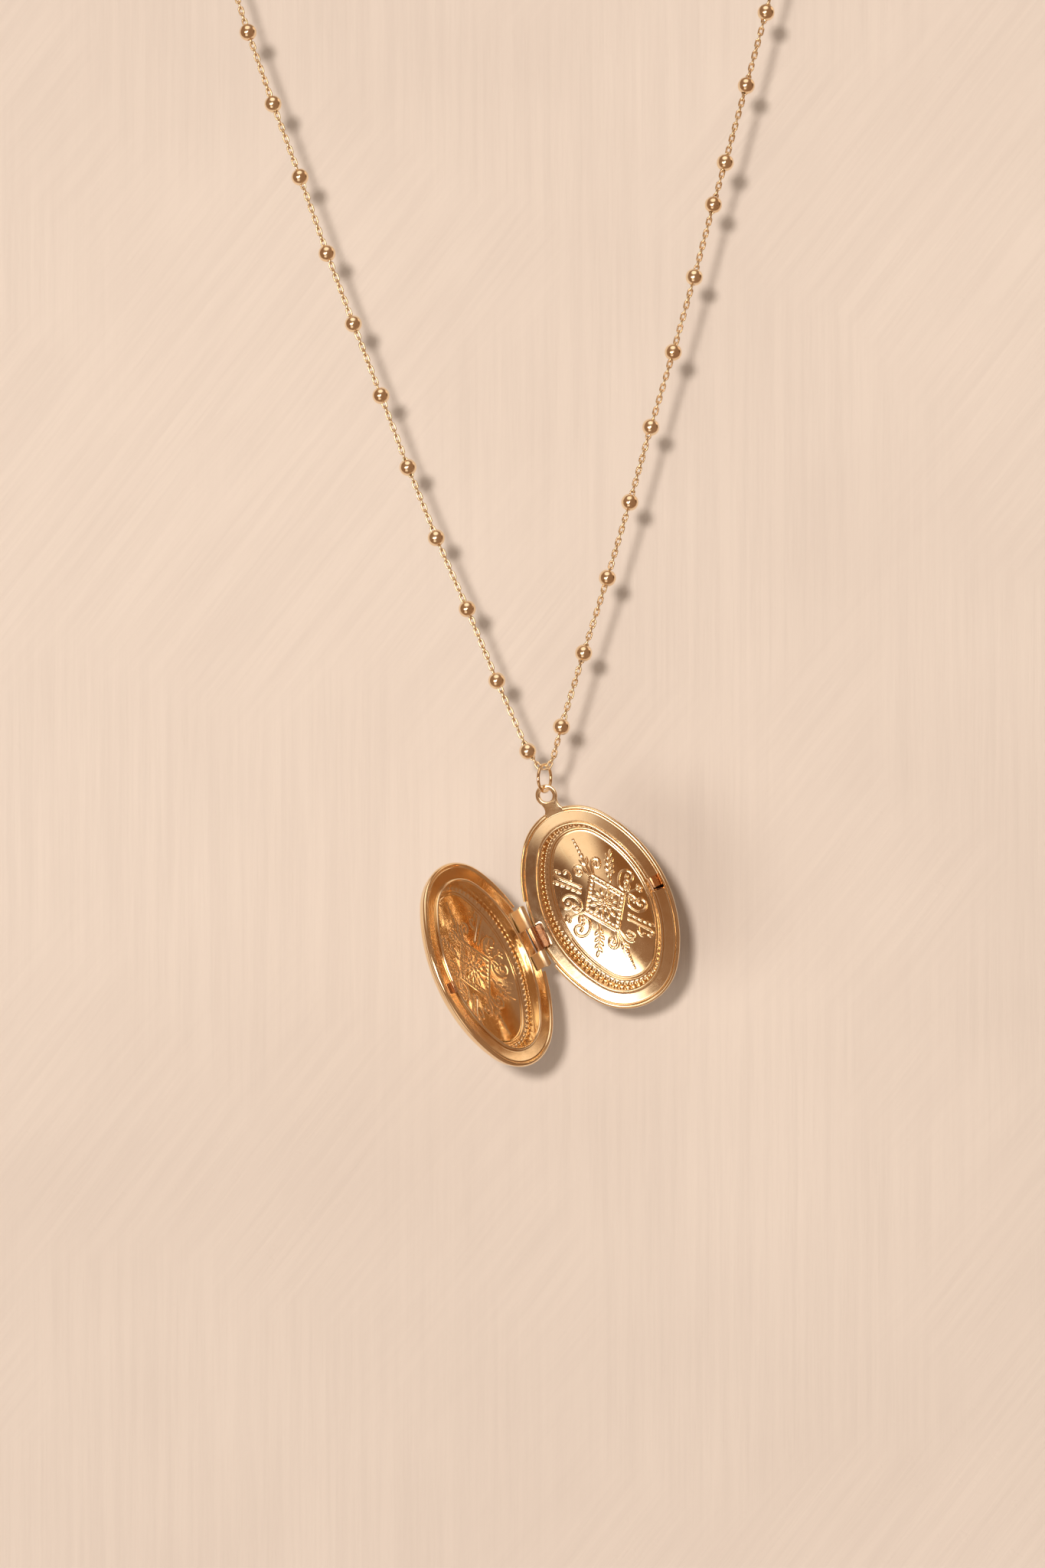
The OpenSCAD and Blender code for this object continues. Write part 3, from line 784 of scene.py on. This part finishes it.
class Look:
    """A node material under construction. Its patterns lie in the piece's own coordinates,
    or for a CAD node that keeps its mesh in the object's."""

    def __init__(self, name, cad_node=False):
        self.material = bpy.data.materials.new(name)
        self.material.use_nodes = True
        self.tree = self.material.node_tree
        self.shader = self.tree.nodes["Principled BSDF"]
        if cad_node:
            self.place = self.add("ShaderNodeTexCoord").outputs["Object"]
        else:
            self.place = self.add("ShaderNodeAttribute",
                                  attribute_name="own_place").outputs["Vector"]

    def add(self, kind, inputs=(), **settings):
        return add_node(self.tree, kind, inputs, **settings)

    def link(self, output, key):
        self.tree.links.new(output, self.shader.inputs[key])

    def maths(self, operation, *values):
        return self.add("ShaderNodeMath", dict(enumerate(values)), operation=operation).outputs[0]

    def noise(self, scale, detail=3.0, roughness=0.55, stretch=None, lean=0):
        """Noise. A stretch packs it closer along each axis, and lean tilts it about Y, in
        degrees."""
        place = self.place
        if stretch:
            mapping = self.add("ShaderNodeMapping",
                               {"Vector": place, "Rotation": (0, math.radians(lean), 0),
                                "Scale": [1 / v for v in stretch]}, vector_type="TEXTURE")
            place = mapping.outputs[0]
        return self.add("ShaderNodeTexNoise", {"Vector": place, "Scale": scale, "Detail": detail,
                                               "Roughness": roughness}).outputs["Fac"]

    def in_window(self):
        """1 on what the catch window opens up, within the curved wall; 0 elsewhere."""
        _, y, z = self.add("ShaderNodeSeparateXYZ", {0: self.place}).outputs
        beside = self.maths("LESS_THAN", self.maths("ABSOLUTE", y), WINDOW_REACH * MM)
        flat = self.add("ShaderNodeVectorMath", {0: self.place, 1: (1, 0, 1)},
                        operation="MULTIPLY").outputs[0]
        centre = ((HALF_WIDTH - FOOT_INSET) * MM, 0, -WALL_TOP * MM)
        away = self.add("ShaderNodeVectorMath", {0: flat, 1: centre},
                        operation="DISTANCE").outputs["Value"]
        within = self.maths("LESS_THAN", away, (WALL_RADIUS - SHEET + 0.1) * MM)
        deep = self.maths("LESS_THAN", z, -WINDOW_TOP * MM)
        return self.maths("MULTIPLY", self.maths("MULTIPLY", beside, within), deep)

    def spread(self, value, low, high, to_low, to_high):
        return self.add("ShaderNodeMapRange", {"Value": value, "From Min": low, "From Max": high,
                                               "To Min": to_low, "To Max": to_high}).outputs[0]

    def ramp(self, value, *stops):
        node = self.add("ShaderNodeValToRGB", {"Fac": value})
        elements = node.color_ramp.elements
        while len(elements) < len(stops):
            elements.new(0.5)
        for element, (position, colour) in zip(elements, stops):
            element.position, element.color = position, (*colour, 1)
        return node.outputs["Color"]

    def mix(self, factor, first, second):
        return mix_colours(self.tree, factor, first, second)

    def bump(self, height, distance, strength=1.0, after=None):
        inputs = {"Height": height, "Distance": distance, "Strength": strength}
        if after is not None:
            inputs["Normal"] = after
        return self.add("ShaderNodeBump", inputs).outputs["Normal"]


def metal(name, dark, light, rough, dents=6e-5, grain=3e-6, brushed=None, tarnish_and_shade=0.5,
          window=None, cad_node=False):
    """Plated metal: drifting tone, fine wear, soft dents, and tarnish with painted shade in the
    crevices. A window colour is painted shade, darker and pinker, where the catch window opens up."""
    look = Look(name, cad_node)
    look.shader.inputs["Metallic"].default_value = 1
    tone = look.ramp(look.noise(240, 4), (0.3, dark), (0.7, light))
    point = look.add("ShaderNodeNewGeometry").outputs["Pointiness"]
    # tarnish with painted shade: the crevices darken towards the stain colour
    crevice_tarnish_and_shade = look.spread(point, 0.485, 0.44, 0, tarnish_and_shade)
    stain_and_shade = tuple(c * f for c, f in zip(dark, (0.62, 0.5, 0.42)))
    tone = look.mix(crevice_tarnish_and_shade, tone, stain_and_shade)
    edge = look.spread(point, 0.53, 0.6, 0, 0.35)
    tone = look.mix(edge, tone, tuple(min(1, c * 1.12) for c in light))
    specks = look.spread(look.noise(2600, 2), 0.66, 0.74, 0, 0.45)
    tone = look.mix(specks, tone, stain_and_shade)
    # painted shade: a darker, pinker colour where the catch window opens up
    if window:
        tone = look.mix(look.in_window(), tone, window)
    look.link(tone, "Base Color")
    wear = look.spread(look.noise(900, 5, 0.65), 0.3, 0.75, *rough)
    look.link(wear, "Roughness")
    normal = look.bump(look.noise(130, 2), dents)
    if brushed:
        normal = look.bump(look.noise(1, 4, 0.7, stretch=brushed), grain * 2, after=normal)
    scratches = look.noise(1, 3, 0.6, stretch=(900, 9000, 2400))
    normal = look.bump(scratches, grain, after=normal)
    look.link(look.bump(look.noise(7000, 2), grain * 0.6, after=normal), "Normal")
    return look.material


# window colours: painted shade, darker and pinker, in the catch window
polished = metal("polished_gold", (0.93, 0.68, 0.4), (0.99, 0.78, 0.5), (0.05, 0.13),
                 dents=3e-5, grain=8e-7, window=(0.93, 0.64, 0.4))
flange = metal("satin_gold_flange", (0.93, 0.7, 0.43), (0.99, 0.8, 0.54), (0.07, 0.14),
               dents=2.5e-5, grain=8e-7, brushed=(120, 1600, 120), window=(0.95, 0.68, 0.44))
bail_gold = metal("bail_gold", (0.93, 0.7, 0.42), (0.99, 0.79, 0.52), (0.09, 0.17),
                  dents=2e-5, grain=8e-7)
chain_gold = metal("chain_gold", (0.9, 0.67, 0.42), (0.98, 0.8, 0.54), (0.12, 0.24),
                   dents=1e-5, grain=6e-7)
bead_gold = metal("bead_gold", (0.92, 0.7, 0.45), (0.99, 0.82, 0.58), (0.13, 0.24),
                  dents=1e-5, grain=8e-7)
leaf_gold = metal("matte_leaf_gold", (0.9, 0.68, 0.44), (0.97, 0.79, 0.56), (0.28, 0.4),
                  grain=1.5e-6, brushed=(1600, 300, 300))
bare_brass = metal("bare_brass", (0.52, 0.26, 0.13), (0.72, 0.42, 0.24), (0.18, 0.34),
                   tarnish_and_shade=0.8)
steel = metal("spring_steel", (0.45, 0.44, 0.42), (0.6, 0.59, 0.57), (0.25, 0.4), dents=1e-5,
              cad_node=True)


def dress(piece, material):
    """Gives a piece its material."""
    piece.data.materials.clear()
    piece.data.materials.append(material)


for piece in (back_shell, lid_shell, jump_ring):
    dress(piece, polished)
for piece in (back_frame, lid_frame):
    dress(piece, flange)
dress(bail, bail_gold)
for side in strands:
    dress(strands[side][0], chain_gold)
    dress(strands[side][1], bead_gold)
for piece in (centre_link, clasp_loop, end_ring_loop):
    dress(piece, chain_gold)
for key, material, slot in (("back_knuckle", bare_brass, "brass_bare"),
                            ("upper_knuckle", leaf_gold, "gold_brushed"),
                            ("lower_knuckle", leaf_gold, "gold_brushed"),
                            ("pin", bail_gold, "gold_polished"),
                            ("tongue", bare_brass, "brass_bare"),
                            ("clasp_body", bead_gold, "gold_polished"),
                            ("clasp_lever", bail_gold, "gold_polished"),
                            ("clasp_pivot", bare_brass, "brass_bare"),
                            ("end_ring", bail_gold, "gold_polished")):
    dress(small[key], material)
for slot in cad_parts["clasp_spring"].material_slots:
    slot.material = steel


# ---------- wall, light and surroundings ----------

WALL_GAP = 30                          # behind the chain's plane: room for the swings
WALL_HALF = (110, 150)
LIT_SPOT = Vector((50, 0, -130)) * MM   # what the lights face
WALL_TONES = ((0.588, 0.511, 0.443), (0.633, 0.555, 0.482), (0.47, 0.402, 0.35))


def make_wall():
    """Plain painted wall with faint brush strokes; from behind it lets the view through."""
    corners = [(VIEW_CENTRE[0] + sx * WALL_HALF[0], WALL_GAP, VIEW_CENTRE[1] + sz * WALL_HALF[1])
               for sx, sz in ((-1, -1), (1, -1), (1, 1), (-1, 1))]
    mesh = bpy.data.meshes.new("wall")
    mesh.from_pydata([tuple(v * MM for v in c) for c in corners], [], [(0, 1, 2, 3)])
    wall = add_object("wall", mesh)
    look = Look("wall_paint")
    upright = look.noise(1, 5, 0.7, stretch=(640, 640, 18))
    slanting = look.noise(1, 5, 0.7, stretch=(600, 600, 20), lean=38)
    patch = look.spread(look.noise(22, 1), 0.44, 0.58, 0, 1)
    strokes = look.add("ShaderNodeMix", {0: patch, 2: upright, 3: slanting}).outputs[0]
    tone = look.ramp(look.noise(14, 3), (0.3, WALL_TONES[0]), (0.7, WALL_TONES[1]))
    tone = look.mix(look.spread(strokes, 0.4, 0.62, 0, 0.2), tone, WALL_TONES[2])
    look.link(tone, "Base Color")
    look.shader.inputs["Roughness"].default_value = 0.85
    look.shader.inputs["Specular IOR Level"].default_value = 0.2
    lumps = look.spread(look.noise(330, 2), 0.62, 0.75, 0, 1)
    normal = look.bump(strokes, 2e-4, 0.8)
    look.link(look.bump(lumps, 6e-5, 0.6, after=normal), "Normal")
    clear = look.add("ShaderNodeBsdfTransparent").outputs[0]
    behind = look.add("ShaderNodeNewGeometry").outputs["Backfacing"]
    both = look.add("ShaderNodeMixShader", {0: behind, 1: look.shader.outputs[0], 2: clear})
    look.tree.links.new(both.outputs[0], look.tree.nodes["Material Output"].inputs["Surface"])
    mesh.materials.append(look.material)


def area_light(name, direction, distance, size, power, colour):
    """Disc light that faces the lit spot from a direction; metal mirrors the room instead."""
    data = bpy.data.lights.new(name, "AREA")
    data.shape, data.size = "DISK", size
    data.energy, data.color = power, colour
    lamp = bpy.data.objects.new(name, data)
    bpy.context.scene.collection.objects.link(lamp)
    toward = Vector(direction).normalized()
    lamp.location = LIT_SPOT + toward * distance
    lamp.rotation_euler = toward.to_track_quat("Z", "Y").to_euler()
    lamp.visible_glossy = False


def make_world(background, base, lobes, wall_share):
    """Warm room seen in the metal: its base colour, and soft patches as (direction, full
    within, gone by, colour) in degrees. The wall gets only a share of its light, so that
    the key light's shadows stay deep."""
    world = bpy.data.worlds.new("room")
    bpy.context.scene.world = world
    world.use_nodes = True
    tree = world.node_tree
    tree.nodes.clear()
    room = add_node(tree, "ShaderNodeTexCoord").outputs["Generated"]
    colour = base
    for direction, inner, outer, patch in lobes:
        facing = add_node(tree, "ShaderNodeVectorMath",
                          {0: room, 1: Vector(direction).normalized()}, operation="DOT_PRODUCT")
        reach = add_node(tree, "ShaderNodeMapRange",
                         {"Value": facing.outputs["Value"],
                          "From Min": math.cos(math.radians(outer)),
                          "From Max": math.cos(math.radians(inner))},
                         interpolation_type="SMOOTHSTEP").outputs[0]
        colour = mix_colours(tree, reach, colour, patch)
    rays = add_node(tree, "ShaderNodeLightPath").outputs
    strength = add_node(tree, "ShaderNodeMapRange", {"Value": rays["Is Diffuse Ray"],
                                                     "To Min": 1, "To Max": wall_share})
    seen = add_node(tree, "ShaderNodeBackground", {"Color": colour, "Strength": strength.outputs[0]})
    plain = add_node(tree, "ShaderNodeBackground", {"Color": (*background, 1)})
    choose = add_node(tree, "ShaderNodeMixShader", {0: rays["Is Camera Ray"],
                                                    1: seen.outputs[0], 2: plain.outputs[0]})
    add_node(tree, "ShaderNodeOutputWorld", {"Surface": choose.outputs[0]})


make_wall()
area_light("key", (-0.087, -1, 0.065), 0.9, 0.05, 7.0, (1, 0.93, 0.88))
area_light("fill", (0.7, -0.6, 0.5), 0.8, 0.5, 0.6, (1, 0.93, 0.88))
make_world((0.83, 0.65, 0.53), (0.3, 0.175, 0.108), [
    ((0.0, 1.0, 0.0), 40, 85, (0.42, 0.29, 0.2)),            # the wall side of the room
    ((-0.32, -0.66, -0.68), 11, 21, (1.1, 0.92, 0.76)),      # pale table below
    ((-0.68, -0.47, -0.52), 6, 17, (0.24, 0.11, 0.045)),     # dark corner, lower left
    ((-0.26, -0.91, -0.33), 7, 16, (0.17, 0.085, 0.045)),    # camera stand
    ((-0.28, -0.91, -0.15), 5, 10, (7.5, 7.1, 6.6)),         # window strip behind a screen,
    ((-0.44, -0.87, -0.12), 6, 11, (7.5, 7.1, 6.6)),         # in three overlapping patches
    ((-0.58, -0.79, -0.1), 5, 10, (4.0, 3.7, 3.3)),
    ((-0.087, -1, 0.065), 2, 5, (17.0, 15.9, 14.8)),         # the key light's own image
    ((-0.1, -0.5, 0.85), 16, 34, (1.3, 1.14, 0.98)),         # pale ceiling
    ((0.8, 0.25, 0.55), 6, 20, (1.2, 0.9, 0.64)),            # lamp shade, upper right
    ((0.96, 0.1, 0.16), 8, 18, (0.12, 0.055, 0.025)),        # door, right
], wall_share=0.55)
bpy.context.scene.view_settings.view_transform = "Standard"
